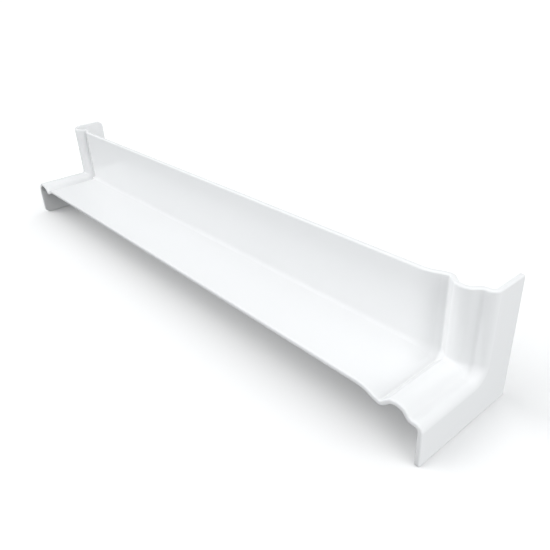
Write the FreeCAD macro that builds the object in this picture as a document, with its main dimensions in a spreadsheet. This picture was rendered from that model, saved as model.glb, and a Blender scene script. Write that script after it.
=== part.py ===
"""Internal corner angle for fascia boards: one moulded piece.

Two flat walls meet at a right angle along a rounded fold.  One wall lies level
(the floor), the other stands upright behind it.  At both ends every wall bends
away from the open corner as a return leg, so each end carries one L-shaped
flange.  The right-hand end has an ogee moulding before its leg, the left-hand
end a rounded bead with a small quirk beside it.

Frame while building: X along the length, Y from the front edge towards the
back, Z up.  The face that shows (inside of the corner) is at z = 0 on the floor
and at y = wall on the upright.  The body is then placed so that the middle of
the bottom of its bounding box is the origin.  Lengths are millimetres.
"""
import math
import os

import FreeCAD
import Part

V = FreeCAD.Vector
doc = FreeCAD.newDocument("fascia_angle")

# ---------------------------------------------------------------- dimensions
sheet = doc.addObject("Spreadsheet::Sheet", "dims")
DIMS = [
    ("length", 500.0, "overall length, outside of leg to outside of leg"),
    ("wall", 50.0, "width of each wall, fold line to free edge"),
    ("leg", 33.0, "return leg, measured from the face of the wall"),
    ("thick", 3.0, "wall thickness"),
    ("fold", 3.0, "radius of the fold, on the side that shows"),
    ("bead_rise", 1.8, "left bead: height above the flat face"),
    ("bead_round", 12.4, "left bead: radius, from the leg over its top to the quirk"),
    ("bead_end", 19.1, "left bead: where its top turns down, as a sharp corner"),
    ("quirk_at", 23.3, "left quirk: bottom of the groove"),
    ("quirk_deep", 4.2, "left quirk: depth"),
    ("quirk_end", 34.5, "left quirk: start of the flat face"),
    ("ogee_from", 39.1, "right ogee: start, from the right end"),
    ("ogee_knee", 32.4, "right ogee: where the slope eases"),
    ("knee_deep", 3.3, "right ogee: depth at the knee"),
    ("tip_at", 27.85, "right ogee: bottom of the slope"),
    ("tip_deep", 4.6, "right ogee: depth of the bottom"),
    ("step_at", 21.7, "right ogee: shoulder of the step"),
    ("step_rise", 0.8, "right ogee: height of the shoulder"),
    ("crest_at", 16.5, "right ogee: top of the crest"),
    ("crest_rise", 1.75, "right ogee: height of the crest"),
    ("round_at", 11.5, "right ogee: corner of the quarter round"),
    ("round_rise", 0.3, "right ogee: height of that corner"),
    ("ledge_at", 7.8, "right ogee: foot of the quarter round"),
    ("ledge_deep", 4.3, "right ogee: depth of the ledge"),
    ("leg_round", 5.3, "right leg: outer radius of its bend"),
    ("corner_left", 5.0, "left flange: radius of its two free corners"),
    ("corner_right", 1.6, "right flange: radius of its two free corners"),
    ("corner_mitre", 1.6, "both flanges: radius of the outer mitre corner"),
]
for row, (name, value, note) in enumerate(DIMS, start=1):
    sheet.set("A%d" % row, name)
    sheet.set("B%d" % row, repr(value))
    sheet.set("C%d" % row, note)
    sheet.setAlias("B%d" % row, name)
doc.recompute()
D = {name: float(sheet.get(name)) for name, _v, _n in DIMS}
LEN, WALL, LEG, THK, FOLD = (D[k] for k in ("length", "wall", "leg", "thick", "fold"))
DEEP = 1.5 * (LEG + FOLD)          # depth that still covers the mitre corner

# ------------------------------------------------------- profile of the face
# Corners (x, n, radius); n is the height over the flat face on the side that
# shows.  The list runs from the foot of the left leg to the foot of the right.
FACE = [
    (0.0, -DEEP, 0.0),
    (0.0, D["bead_rise"], D["bead_round"]),
    (D["bead_end"], D["bead_rise"], D["bead_round"]),
    (D["quirk_at"], -D["quirk_deep"], 0.6),
    (D["quirk_end"], 0.0, 1.5),
    (LEN - D["ogee_from"], 0.0, 25.0),
    (LEN - D["ogee_knee"], -D["knee_deep"], 6.4),
    (LEN - D["tip_at"], -D["tip_deep"], 2.0),
    (LEN - D["step_at"], D["step_rise"], 4.6),
    (LEN - D["crest_at"], D["crest_rise"], 9.3),
    (LEN - D["round_at"], D["round_rise"], 7.2),
    (LEN - D["ledge_at"], -D["ledge_deep"], 3.5),
    (LEN, -D["ledge_deep"], D["leg_round"]),
    (LEN, -DEEP, 0.0),
]


def unit(a, b):
    dx, dy = b[0] - a[0], b[1] - a[1]
    size = math.hypot(dx, dy)
    return dx / size, dy / size


def offset_corners(corners, step):
    """The same chain of corners, moved by step to the right of its run."""
    moved = []
    last = len(corners) - 1
    for i, (x, n, r) in enumerate(corners):
        if i in (0, last):
            a, b = (corners[0], corners[1]) if i == 0 else (corners[-2], corners[-1])
            ux, uy = unit(a, b)
            moved.append((x + uy * step, n - ux * step, 0.0))
            continue
        ax, ay = unit(corners[i - 1], corners[i])
        bx, by = unit(corners[i], corners[i + 1])
        cross = ax * by - ay * bx
        half = math.tan(0.5 * math.atan2(cross, ax * bx + ay * by))
        px = x + ay * step + ax * step * half
        py = n - ax * step + ay * step * half
        moved.append((px, py, max(r - step, 0.0) if cross < 0 else r + step))
    return moved


def chain(corners):
    """Lines and arcs through the corners, each corner rounded by its radius."""
    parts = []
    here = corners[0][:2]
    for i in range(1, len(corners) - 1):
        x, n, r = corners[i]
        ax, ay = unit(corners[i - 1], corners[i])
        bx, by = unit(corners[i], corners[i + 1])
        turn = math.atan2(ax * by - ay * bx, ax * bx + ay * by)
        if r < 1e-6 or abs(turn) < 1e-9:
            parts.append(("line", here, (x, n)))
            here = (x, n)
            continue
        cut = r * math.tan(abs(turn) / 2.0)
        start = (x - ax * cut, n - ay * cut)
        end = (x + bx * cut, n + by * cut)
        side = 1.0 if turn > 0 else -1.0
        centre = (start[0] - side * ay * r, start[1] + side * ax * r)
        mx, my = x - centre[0], n - centre[1]
        size = math.hypot(mx, my)
        mid = (centre[0] + mx / size * r, centre[1] + my / size * r)
        if math.hypot(start[0] - here[0], start[1] - here[1]) > 1e-6:
            parts.append(("line", here, start))
        parts.append(("arc", start, mid, end))
        here = end
    parts.append(("line", here, corners[-1][:2]))
    return parts


def with_foot(corners, depth):
    """The chain with both legs ended at the given depth."""
    first, last = corners[0], corners[-1]
    return [(first[0], -depth, 0.0)] + corners[1:-1] + [(last[0], -depth, 0.0)]


INSIDE = offset_corners(FACE, THK)

body = doc.addObject("PartDesign::Body", "corner_angle")
body.Label = "corner_angle"


def plane(role):
    for feature in body.Origin.OriginFeatures:
        if feature.Role == role:
            return feature
    raise RuntimeError(role)


def sketch(name, role, place, offset_name=None, offset_expr=None):
    s = body.newObject("Sketcher::SketchObject", name)
    s.AttachmentSupport = [(plane(role), "")]
    s.MapMode = "FlatFace"
    if offset_expr:
        s.setExpression("AttachmentOffset.Base.z", offset_expr)
    doc.recompute()
    inverse = s.Placement.inverse()

    def to_sketch(point):
        p = inverse.multVec(place(point))
        return V(p.x, p.y, 0)

    return s, to_sketch


def draw(s, to_sketch, pieces):
    for piece in pieces:
        pts = [to_sketch(p) for p in piece[1:]]
        if piece[0] == "line":
            s.addGeometry(Part.LineSegment(*pts), False)
        else:
            s.addGeometry(Part.Arc(*pts), False)


def closed(pieces):
    return pieces + [("line", pieces[-1][-1], pieces[0][1])]


def volume():
    doc.recompute()
    return body.Shape.Volume


# ------------------------------------------------------------ floor, as solid
s, to = sketch("floor_section", "XZ_Plane", lambda p: V(p[0], 0.0, p[1]))
draw(s, to, closed(chain(with_foot(FACE, LEG))))
pad = body.newObject("PartDesign::Pad", "floor_run")
pad.Profile = s
pad.setExpression("Length", "dims.wall - dims.fold")
doc.recompute()
if pad.Shape.BoundBox.YMin < -1e-6:
    pad.Reversed = True
doc.recompute()

# ------------------------------------------------------ fold, turned by 90 deg
s, to = sketch("fold_section", "XZ_Plane", lambda p: V(p[0], WALL - FOLD, p[1]),
               offset_expr="-(dims.wall - dims.fold)")
draw(s, to, closed(chain(with_foot(FACE, DEEP))))
s.addGeometry(Part.LineSegment(to((0.0, FOLD)), to((LEN, FOLD))), True)
turn = body.newObject("PartDesign::Revolution", "fold_turn")
turn.Profile = s
turn.ReferenceAxis = (s, ["Axis0"])
turn.Angle = 90.0
doc.recompute()
if turn.Shape.BoundBox.YMax < WALL + LEG:
    turn.Reversed = True
doc.recompute()

# -------------------------------------------------------- upright, as a solid
s, to = sketch("upright_section", "XY_Plane", lambda p: V(p[0], WALL - p[1], FOLD),
               offset_expr="dims.fold")
draw(s, to, closed(chain(with_foot(FACE, LEG))))
pad = body.newObject("PartDesign::Pad", "upright_run")
pad.Profile = s
pad.setExpression("Length", "dims.wall - dims.fold")
doc.recompute()

# ----------------------------------- everything outside the mitred flange goes
far = 3.0 * DEEP
s, to = sketch("trim_outline", "YZ_Plane", lambda p: V(0.0, p[0], p[1]))
rim = [(-far, -LEG), (WALL + LEG, -LEG), (WALL + LEG, far),
       (far + WALL, far), (far + WALL, -far), (-far, -far)]
draw(s, to, [("line", rim[i], rim[(i + 1) % len(rim)]) for i in range(len(rim))])
cut = body.newObject("PartDesign::Pocket", "mitre_trim")
cut.Profile = s
cut.Type = "ThroughAll"
cut.Midplane = True
doc.recompute()

# ------------------------------------------------------------- hollow the back
# The same run, turn and run, with the profile moved in by the thickness.
s, to = sketch("floor_hollow_section", "XZ_Plane", lambda p: V(p[0], 0.0, p[1]))
draw(s, to, closed(chain(with_foot(INSIDE, DEEP))))
before = volume()
cut = body.newObject("PartDesign::Pocket", "floor_hollow")
cut.Profile = s
cut.setExpression("Length", "dims.wall - dims.fold")
if volume() > 0.9 * before:
    cut.Reversed = True
doc.recompute()

s, to = sketch("fold_hollow_section", "XZ_Plane", lambda p: V(p[0], WALL - FOLD, p[1]),
               offset_expr="-(dims.wall - dims.fold)")
draw(s, to, closed(chain(with_foot(INSIDE, DEEP))))
s.addGeometry(Part.LineSegment(to((0.0, FOLD)), to((LEN, FOLD))), True)
before = volume()
cut = body.newObject("PartDesign::Groove", "fold_hollow")
cut.Profile = s
cut.ReferenceAxis = (s, ["Axis0"])
cut.Angle = 90.0
cut.Reversed = turn.Reversed
if volume() > 0.9 * before:
    cut.Reversed = not cut.Reversed
doc.recompute()

s, to = sketch("upright_hollow_section", "XY_Plane", lambda p: V(p[0], WALL - p[1], FOLD),
               offset_expr="dims.fold")
draw(s, to, closed(chain(with_foot(INSIDE, DEEP))))
before = volume()
cut = body.newObject("PartDesign::Pocket", "upright_hollow")
cut.Profile = s
cut.setExpression("Length", "dims.wall")
if volume() > 0.9 * before:
    cut.Reversed = True
doc.recompute()


# ------------------------------------------------ rounded corners of the flanges
def rounded(name, radius, spots):
    """Round the edges along X whose middle is at one of the spots."""
    base = body.Tip
    found = []
    for number, edge in enumerate(base.Shape.Edges, start=1):
        mid = edge.valueAt(0.5 * (edge.FirstParameter + edge.LastParameter))
        if any((mid - V(*spot)).Length < 0.05 for spot in spots):
            found.append("Edge%d" % number)
    if len(found) != len(spots):
        raise RuntimeError("%s: %d edges for %d spots" % (name, len(found), len(spots)))
    feature = body.newObject("PartDesign::Fillet", name)
    feature.Base = (base, found)
    feature.setExpression("Radius", "dims." + radius)
    doc.recompute()


half = 0.5 * THK
back = WALL + LEG
rounded("left_corners", "corner_left", [(half, back, WALL), (half, 0.0, -LEG)])
rounded("right_corners", "corner_right", [(LEN - half, back, WALL), (LEN - half, 0.0, -LEG)])
rounded("mitre_corners", "corner_mitre", [(half, back, -LEG), (LEN - half, back, -LEG)])

body.setExpression("Placement.Base.x", "-dims.length / 2")
body.setExpression("Placement.Base.y", "-(dims.wall + dims.leg) / 2")
body.setExpression("Placement.Base.z", "dims.leg")
doc.recompute()

# ----------------------------------------------------------------- last checks
for obj in doc.Objects:
    if "Invalid" in obj.State or "Error" in obj.State:
        raise RuntimeError("%s: %s" % (obj.Name, obj.State))
shape = body.Shape
if shape.isNull() or not shape.isValid() or len(shape.Solids) != 1:
    raise RuntimeError("the body is not one valid solid")
box = shape.BoundBox
size = (box.XLength, box.YLength, box.ZLength)
want = (LEN, WALL + LEG, WALL + LEG)
if any(abs(a - b) > 0.01 for a, b in zip(size, want)):
    raise RuntimeError("overall size %r, expected %r" % (size, want))
print("volume mm3 %.0f, box %.2f %.2f %.2f, z from %.3f" % (shape.Volume, *size, box.ZMin))

os.makedirs("parts", exist_ok=True)
shape.exportStep("parts/corner_angle.step")
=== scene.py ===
import math

import bmesh
import bpy
import numpy as np
from mathutils import Matrix, Vector


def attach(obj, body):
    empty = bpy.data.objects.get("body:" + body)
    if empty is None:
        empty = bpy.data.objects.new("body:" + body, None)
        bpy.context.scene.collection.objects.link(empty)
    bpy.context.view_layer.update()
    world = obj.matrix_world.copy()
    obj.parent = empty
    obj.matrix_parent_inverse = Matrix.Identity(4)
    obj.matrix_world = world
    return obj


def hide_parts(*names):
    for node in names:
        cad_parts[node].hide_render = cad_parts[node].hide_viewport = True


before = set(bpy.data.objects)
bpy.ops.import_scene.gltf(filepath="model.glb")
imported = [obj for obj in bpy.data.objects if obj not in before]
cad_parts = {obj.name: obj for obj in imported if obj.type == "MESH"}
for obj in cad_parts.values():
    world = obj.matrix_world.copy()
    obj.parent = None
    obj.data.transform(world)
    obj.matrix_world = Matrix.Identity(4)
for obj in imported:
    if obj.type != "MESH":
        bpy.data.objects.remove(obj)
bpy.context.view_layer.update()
scene = bpy.context.scene

# --------------------------------------------------------------------- sizes
# Millimetres, in the part's own build frame: x along the length from the bead
# end, y from the front edge to the back, z = 0 on the face of the level wall.
LEN, WALL, LEG, THK, FOLD = 500.0, 50.0, 33.0, 3.0, 3.0
CORNER_LEFT, CORNER_RIGHT, CORNER_MITRE = 5.0, 1.6, 1.6
EDGE_SHOWN, EDGE_BACK = 1.05, 0.40   # roundings of the free edges, side that shows and back

# Corners of the profile (x, height over the flat face, radius), leg to leg.
FACE = [
    (0.0, -LEG, 0.0),
    (0.0, 1.8, 12.4),
    (19.1, 1.8, 12.4),
    (23.3, -4.2, 0.6),
    (34.5, 0.0, 1.5),
    (LEN - 39.1, 0.0, 25.0),
    (LEN - 32.4, -3.3, 6.4),
    (LEN - 27.85, -4.6, 2.0),
    (LEN - 21.7, 0.8, 4.6),
    (LEN - 16.5, 1.75, 9.3),
    (LEN - 11.5, 0.3, 7.2),
    (LEN - 7.8, -4.3, 3.5),
    (LEN, -4.3, 5.3),
    (LEN, -LEG, 0.0),
]


def unit(a, b):
    dx, dy = b[0] - a[0], b[1] - a[1]
    size = math.hypot(dx, dy)
    return dx / size, dy / size


def offset_corners(corners, step):
    """The chain of corners moved by step into the wall."""
    moved = []
    last = len(corners) - 1
    for i, (x, n, r) in enumerate(corners):
        if i in (0, last):
            a, b = (corners[0], corners[1]) if i == 0 else (corners[-2], corners[-1])
            ux, uy = unit(a, b)
            moved.append((x + uy * step, n - ux * step, 0.0))
            continue
        ax, ay = unit(corners[i - 1], corners[i])
        bx, by = unit(corners[i], corners[i + 1])
        cross = ax * by - ay * bx
        half = math.tan(0.5 * math.atan2(cross, ax * bx + ay * by))
        px = x + ay * step + ax * step * half
        py = n - ax * step + ay * step * half
        moved.append((px, py, max(r - step, 0.15) if cross < 0 else r + step))
    return moved


def arc_of(corners, i):
    """Start, centre and turn of the rounding at corner i."""
    x, n, r = corners[i]
    ax, ay = unit(corners[i - 1], corners[i])
    bx, by = unit(corners[i], corners[i + 1])
    turn = math.atan2(ax * by - ay * bx, ax * bx + ay * by)
    cut = r * math.tan(abs(turn) / 2.0)
    start = (x - ax * cut, n - ay * cut)
    side = 1.0 if turn > 0 else -1.0
    centre = (start[0] - side * ay * r, start[1] + side * ax * r)
    return start, centre, turn


def run_steps(length):
    """Shares of a straight run where it is divided, close to its ends too."""
    if length < 1.5:
        return [0.5] if length > 0.4 else []
    edge = 0.35 / length
    count = max(1, round(length / 9.0))
    inner = [k / count for k in range(1, count)]
    return [edge] + [s for s in inner if 2 * edge < s < 1 - 2 * edge] + [1 - edge]


def sample(corners, arcs, runs):
    """Points of the profile from the left bend to the right bend."""
    points = []
    for i in range(1, len(corners) - 1):
        start, centre, turn = arc_of(corners, i)
        a0 = math.atan2(start[1] - centre[1], start[0] - centre[0])
        r = corners[i][2]
        if points:
            last = points[-1]
            for s in runs[i - 1]:
                points.append((last[0] + (start[0] - last[0]) * s,
                               last[1] + (start[1] - last[1]) * s))
        for k in range(arcs[i] + 1):
            a = a0 + turn * k / arcs[i]
            points.append((centre[0] + r * math.cos(a), centre[1] + r * math.sin(a)))
    return np.array(points)


INSIDE = offset_corners(FACE, THK)
arcs, runs, end = [0] * len(FACE), [[] for _ in FACE], None
for i in range(1, len(FACE) - 1):
    start, centre, turn = arc_of(FACE, i)
    arcs[i] = max(6, math.ceil(math.degrees(abs(turn)) / 4.5))
    if end is not None:
        runs[i - 1] = run_steps(math.hypot(start[0] - end[0], start[1] - end[1]))
    a = math.atan2(start[1] - centre[1], start[0] - centre[0]) + turn
    end = (centre[0] + FACE[i][2] * math.cos(a), centre[1] + FACE[i][2] * math.sin(a))
outer = sample(FACE, arcs, runs)
inner = sample(INSIDE, arcs, runs)

# --------------------------------------------------------------- sweep stations
floor_y = [1.35, 1.9, 2.9, 4.6, 7.0] + list(np.linspace(10, 42, 9)) + [44.5, 46.0, 46.7, WALL - FOLD]
fold_a = [math.radians(90.0 * k / 14) for k in range(1, 15)]


def swept(x, n, inset):
    """The run of one profile point from the front edge over the fold to the top."""
    ys = [inset] + floor_y
    out = [(x, y, n) for y in ys]
    r = FOLD - n
    out += [(x, WALL - FOLD + r * math.sin(a), FOLD - r * math.cos(a)) for a in fold_a]
    out += [(x, WALL - n, WALL - y) for y in reversed(ys[:-1])]
    return out


def corner_arc(centre, r, a0, a1, steps):
    return [(centre[0] + r * math.cos(a0 + (a1 - a0) * k / steps),
             centre[1] + r * math.sin(a0 + (a1 - a0) * k / steps)) for k in range(steps + 1)]


def leg_rows(n_bend, radius, inset):
    """Rows of (y, z) from the bend down to the free edge of one flange."""
    top = np.array([p[1:] for p in swept(0.0, n_bend, inset)])
    q = math.pi / 4
    ys = [inset] + floor_y
    nf, na = len(ys), len(fold_a)
    steps = 6
    r, r_mitre = radius - inset, CORNER_MITRE - inset
    near, far = (radius, -LEG + radius), (WALL + LEG - CORNER_MITRE, -LEG + CORNER_MITRE)
    # free edge: half of the front corner, bottom, mitre corner, back, half of the top corner
    front = corner_arc(near, r, math.pi + q, 1.5 * math.pi, steps)
    straight = [(radius + (far[0] - radius) * s, -LEG + inset) for s in np.linspace(0, 1, nf - steps)][1:]
    turn = corner_arc(far, r_mitre, 1.5 * math.pi, 2 * math.pi, na)[1:]
    lower = front + straight
    upper = [(WALL - z, WALL - y) for y, z in reversed(lower)]
    foot = np.array(lower + turn + upper[1:])
    # front edge: straight, then the other half of its corner
    drop = n_bend + LEG - radius
    downs = [0.5] + [drop * k / 6 for k in range(1, 6)] + [drop - 1.2, drop - 0.4]
    edge = [(inset, n_bend - d) for d in downs] + corner_arc(near, r, math.pi, math.pi + q, steps)
    whole = drop + radius * q
    shares = [d / whole for d in downs] + [(drop + radius * q * k / steps) / whole for k in range(steps + 1)]
    rows = []
    for share, c in zip(shares, edge):
        row = (1 - share) * top + share * foot
        miss = np.array(c) - row[0]
        miss_top = np.array([-miss[1], -miss[0]])
        for j in range(nf):
            w = max(0.0, 1.0 - ys[j] / 12.0)
            row[j] += w * miss
            row[-1 - j] += w * miss_top
        rows.append(row)
    return rows


def sheet(profile, x_left, x_right, inset):
    """One face of the moulding as a grid of points, left foot to right foot."""
    left = leg_rows(profile[0][1], CORNER_LEFT, inset)
    right = leg_rows(profile[-1][1], CORNER_RIGHT, inset)
    grid = [[(x_left, y, z) for y, z in row] for row in reversed(left)]
    grid += [swept(x, n, inset) for x, n in profile]
    grid += [[(x_right, y, z) for y, z in row] for row in right]
    return np.array(grid)


shown, shown_rim = sheet(outer, 0.0, LEN, EDGE_SHOWN), sheet(outer, 0.0, LEN, 0.0)
back, back_rim = sheet(inner, THK, LEN - THK, EDGE_BACK), sheet(inner, THK, LEN - THK, 0.0)
rows, cols = shown.shape[:2]

bm = bmesh.new()


def vert(p):
    return bm.verts.new(((p[0] - LEN / 2) * 1e-3, (p[1] - (WALL + LEG) / 2) * 1e-3, (p[2] + LEG) * 1e-3))


shown_v = [[vert(p) for p in row] for row in shown]
back_v = [[vert(p) for p in row] for row in back]
for i in range(rows - 1):
    for j in range(cols - 1):
        bm.faces.new((shown_v[i][j], shown_v[i + 1][j], shown_v[i + 1][j + 1], shown_v[i][j + 1]))
        bm.faces.new((back_v[i][j], back_v[i][j + 1], back_v[i + 1][j + 1], back_v[i + 1][j]))

# the free edge all round: rounding, flat, rounding, from the side that shows to the back
rim = [(i, 0) for i in range(rows)] + [(rows - 1, j) for j in range(1, cols)]
rim += [(i, cols - 1) for i in range(rows - 2, -1, -1)] + [(0, j) for j in range(cols - 2, 0, -1)]
EDGE_STEPS = 5
strips = []
for i, j in rim:
    through = shown_rim[i, j] - back_rim[i, j]
    through /= np.linalg.norm(through)
    strip = [shown_v[i][j]]
    for edge_p, sheet_p, r, side, turns in (
            (shown_rim[i, j], shown[i, j], EDGE_SHOWN, through, range(EDGE_STEPS - 1, -1, -1)),
            (back_rim[i, j], back[i, j], EDGE_BACK, -through, range(EDGE_STEPS))):
        inward = sheet_p - edge_p
        inward /= np.linalg.norm(inward)
        middle = edge_p + r * inward - r * side
        for k in turns:
            a = 0.5 * math.pi * k / EDGE_STEPS
            strip.append(vert(middle + r * (side * math.sin(a) - inward * math.cos(a))))
    strips.append(strip + [back_v[i][j]])
for k, strip in enumerate(strips):
    following = strips[(k + 1) % len(strips)]
    for m in range(len(strip) - 1):
        bm.faces.new((following[m], strip[m], strip[m + 1], following[m + 1]))
bmesh.ops.recalc_face_normals(bm, faces=bm.faces)
for f in bm.faces:
    f.smooth = True
mesh = bpy.data.meshes.new("corner_angle_moulding")
bm.to_mesh(mesh)
bm.free()
angle = bpy.data.objects.new("corner_angle_moulding", mesh)
scene.collection.objects.link(angle)


# ------------------------------------------------------------------ materials
class Tree:
    """A small helper to write a node tree line by line."""

    def __init__(self, owner):
        owner.use_nodes = True
        self.tree = owner.node_tree
        self.tree.nodes.clear()

    def add(self, kind, ins=None, **props):
        node = self.tree.nodes.new(kind)
        for key, value in props.items():
            setattr(node, key, value)
        for key, value in (ins or {}).items():
            socket = node.inputs[key]
            if isinstance(value, bpy.types.NodeSocket):
                self.tree.links.new(value, socket)
            else:
                socket.default_value = value
        return node


def white_pvc():
    mat = bpy.data.materials.new("white_pvc")
    t = Tree(mat)
    at = t.add("ShaderNodeTexCoord").outputs["Object"]
    # slow drift of tone over the moulding
    drift = t.add("ShaderNodeTexNoise", {"Vector": at, "Scale": 9.0, "Detail": 3.0, "Roughness": 0.5})
    tone = t.add("ShaderNodeValToRGB", {"Fac": drift.outputs["Fac"]})
    tone.color_ramp.elements[0].position = 0.3
    tone.color_ramp.elements[0].color = (0.800, 0.806, 0.812, 1)
    tone.color_ramp.elements[1].position = 0.7
    tone.color_ramp.elements[1].color = (0.815, 0.820, 0.825, 1)
    # the gloss eases in soft patches drawn out along the length
    long = t.add("ShaderNodeMapping", {"Vector": at, "Scale": (7.0, 22.0, 22.0)})
    patch = t.add("ShaderNodeTexNoise", {"Vector": long.outputs["Vector"], "Scale": 1.0, "Detail": 2.0, "Roughness": 0.5})
    gloss = t.add("ShaderNodeMapRange", {"Value": patch.outputs["Fac"], "From Min": 0.3, "From Max": 0.7,
                                         "To Min": 0.11, "To Max": 0.16})
    # faint waviness of the moulded skin and its fine grain
    wave = t.add("ShaderNodeTexNoise", {"Vector": at, "Scale": 30.0, "Detail": 1.0, "Roughness": 0.4})
    b1 = t.add("ShaderNodeBump", {"Height": wave.outputs["Fac"], "Strength": 0.012, "Distance": 0.002})
    grain = t.add("ShaderNodeTexNoise", {"Vector": at, "Scale": 900.0, "Detail": 1.0, "Roughness": 0.5})
    b2 = t.add("ShaderNodeBump", {"Height": grain.outputs["Fac"], "Strength": 0.012, "Distance": 0.0003,
                                  "Normal": b1.outputs["Normal"]})
    bsdf = t.add("ShaderNodeBsdfPrincipled", {"Base Color": tone.outputs["Color"],
                                              "Roughness": gloss.outputs["Result"],
                                              "Normal": b2.outputs["Normal"], "IOR": 1.55})
    t.add("ShaderNodeOutputMaterial", {"Surface": bsdf.outputs["BSDF"]})
    return mat


def studio_floor():
    mat = bpy.data.materials.new("studio_floor")
    t = Tree(mat)
    at = t.add("ShaderNodeTexCoord").outputs["Object"]
    cloud = t.add("ShaderNodeTexNoise", {"Vector": at, "Scale": 2.0, "Detail": 2.0})
    tone = t.add("ShaderNodeValToRGB", {"Fac": cloud.outputs["Fac"]})
    tone.color_ramp.elements[0].color = (0.90, 0.90, 0.90, 1)
    tone.color_ramp.elements[1].color = (0.92, 0.92, 0.92, 1)
    bsdf = t.add("ShaderNodeBsdfPrincipled", {"Base Color": tone.outputs["Color"], "Roughness": 0.9,
                                              "Specular IOR Level": 0.2})
    t.add("ShaderNodeOutputMaterial", {"Surface": bsdf.outputs["BSDF"]})
    return mat


# painted shade: a near-black card that stands in for the part's own shade on the floor beneath it
def painted_shade_card():
    mat = bpy.data.materials.new("painted_shade_card")
    t = Tree(mat)
    painted_shade_bsdf = t.add("ShaderNodeBsdfDiffuse", {"Color": (0.01, 0.01, 0.01, 1)})
    t.add("ShaderNodeOutputMaterial", {"Surface": painted_shade_bsdf.outputs["BSDF"]})
    return mat


def studio_backdrop():
    mat = bpy.data.materials.new("studio_backdrop")
    t = Tree(mat)
    glow = t.add("ShaderNodeEmission", {"Color": (1, 1, 1, 1), "Strength": 1.1})
    t.add("ShaderNodeOutputMaterial", {"Surface": glow.outputs["Emission"]})
    return mat


mesh.materials.append(white_pvc())
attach(angle, "root")
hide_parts("corner_angle")

# ---------------------------------------------------------------------- stage
ground = bpy.data.meshes.new("floor")
half = 40.0
ground.from_pydata([(-half, -half, 0), (half, -half, 0), (half, half, 0), (-half, half, 0)], [], [(0, 1, 2, 3)])
floor = bpy.data.objects.new("floor", ground)
floor.location.z = -0.0001
scene.collection.objects.link(floor)
ground.materials.append(studio_floor())

# a white backdrop far behind, all the way round
dome = bmesh.new()
bmesh.ops.create_uvsphere(dome, u_segments=48, v_segments=24, radius=12.0)
curtain = bpy.data.meshes.new("backdrop")
dome.to_mesh(curtain)
dome.free()
backdrop = bpy.data.objects.new("backdrop", curtain)
scene.collection.objects.link(backdrop)
curtain.materials.append(studio_backdrop())

# painted shade: a dark card in the floor right under the part, unseen by the camera, stands in for the shaded
# floor there and darkens the insides of the legs and the underside; it keeps light from coming up between the
# legs
strip = bpy.data.meshes.new("card")
strip.from_pydata([(-0.2495, -0.08, 0), (0.2495, -0.08, 0), (0.2495, 0.0415, 0), (-0.2495, 0.0415, 0)], [], [(0, 1, 2, 3)])
card = bpy.data.objects.new("card", strip)
card.location.z = -0.0003
scene.collection.objects.link(card)
strip.materials.append(painted_shade_card())
card.visible_camera = False
card.visible_shadow = False

# the soft light round the part comes from the world and the lamps alone
for obj in (floor, backdrop):
    obj.visible_diffuse = False
    obj.visible_glossy = False
backdrop.visible_shadow = False

world = bpy.data.worlds.new("studio")
scene.world = world
t = Tree(world)
sky = t.add("ShaderNodeBackground", {"Color": (0.97, 1.0, 1.02, 1), "Strength": 0.47})
t.add("ShaderNodeOutputWorld", {"Surface": sky.outputs["Background"]})

# soft lamps far away, so that the floor is lit evenly: name, bearing from +X
# towards +Y, height over the floor (degrees), spread (degrees), strength, and
# whether its glare shows in the gloss
LIGHTS = [
    ("front_left", -138.0, 35.0, 66.0, 2.17, False),
    ("right", 3.0, 27.0, 66.0, 2.06, False),
    ("back_left", 165.0, 25.0, 50.0, 0.05, True),
    ("back", 110.0, 22.0, 45.0, 0.40, False),
]
for name, bearing, height, spread, strength, glare in LIGHTS:
    data = bpy.data.lights.new(name, "SUN")
    data.angle = math.radians(spread)
    data.energy = strength
    lamp = bpy.data.objects.new(name, data)
    b, h = math.radians(bearing), math.radians(height)
    away = Vector((math.cos(h) * math.cos(b), math.cos(h) * math.sin(b), math.sin(h)))
    lamp.rotation_euler = away.to_track_quat("Z", "Y").to_euler()
    lamp.location = away * 2.0
    lamp.visible_glossy = glare
    scene.collection.objects.link(lamp)

scene.view_settings.view_transform = "Standard"
scene.view_settings.look = "None"
scene.view_settings.exposure = 0.0
scene.view_settings.gamma = 1.0

# --------------------------------------------------------------------- camera
lens = bpy.data.cameras.new("camera")
lens.sensor_fit = "HORIZONTAL"
lens.sensor_width = 36.0
lens.lens = 37.699
lens.clip_start = 0.01
lens.clip_end = 200.0
camera = bpy.data.objects.new("camera", lens)
right = Vector((0.656209, 0.753239, -0.044958)).normalized()
ahead = Vector((-0.672228, 0.556488, -0.488294)).normalized()
up = right.cross(ahead).normalized()
right = ahead.cross(up).normalized()
turn = Matrix((right, up, -ahead)).transposed()
camera.matrix_world = Matrix.Translation((0.36809, -0.22947, 0.237925)) @ turn.to_4x4()
scene.collection.objects.link(camera)
scene.camera = camera

bpy.context.view_layer.update()
